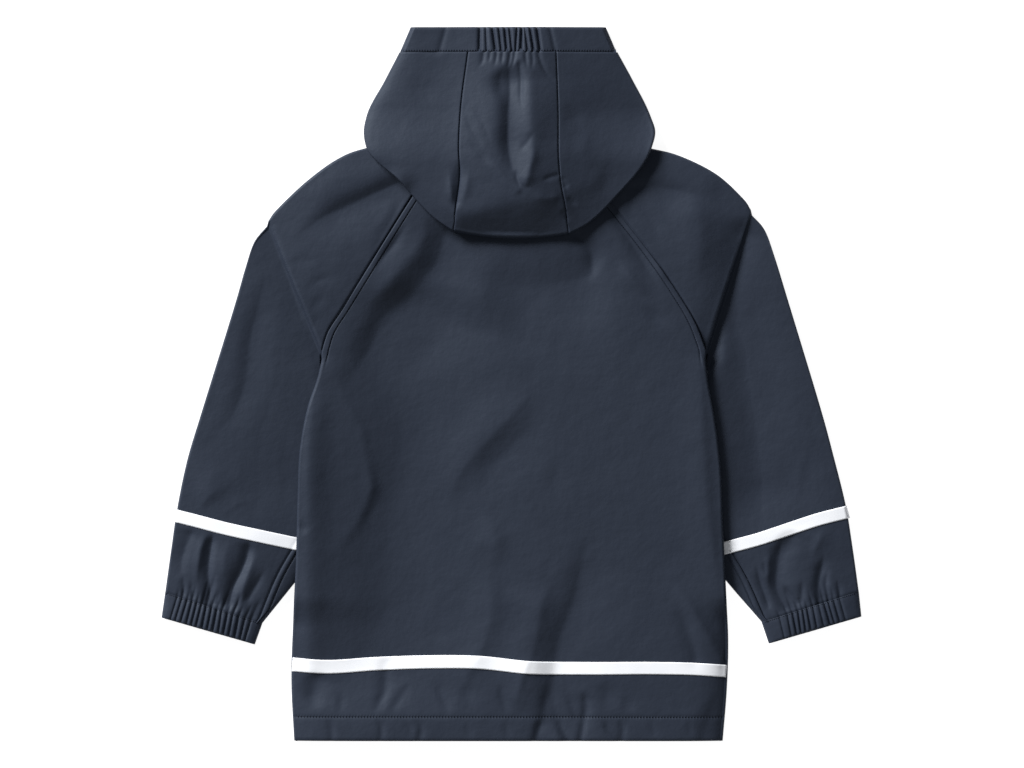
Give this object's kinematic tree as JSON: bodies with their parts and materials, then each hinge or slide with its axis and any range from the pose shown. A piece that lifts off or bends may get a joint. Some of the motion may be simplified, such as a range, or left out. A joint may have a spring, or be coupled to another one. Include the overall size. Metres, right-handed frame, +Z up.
{
  "type": "kids raincoat",
  "caption": "Child's hooded raincoat of coated cloth with raglan sleeves, gathered cuffs and hood brim, and reflective tapes, lying face down with its back up.",
  "frame": {"origin": "middle of the coat's footprint, on the plane it lies on", "axes": "+X to the right as the back is seen with the hood up the page, +Y from the hem to the hood, +Z up out of the back, away from the plane it lies on"},
  "size_m": [0.6306, 0.6426, 0.0327],
  "materials": {
    "coated_cloth": "smooth navy polyurethane coating with a satin sheen",
    "reflective_tape": "silver white retroreflective tape"
  },
  "bodies": {
    "root": {"back_panel": "coated_cloth", "front_left": "coated_cloth", "front_right": "coated_cloth", "sleeve_left": "coated_cloth", "sleeve_right": "coated_cloth", "sleeve_under_left": "coated_cloth", "sleeve_under_right": "coated_cloth", "cuff_left": "coated_cloth", "cuff_right": "coated_cloth", "hood_center": "coated_cloth", "hood_left": "coated_cloth", "hood_right": "coated_cloth", "hood_brim": "coated_cloth", "tape_body": "reflective_tape", "tape_sleeve_left": "reflective_tape", "tape_sleeve_right": "reflective_tape"}
  },
  "joints": []
}
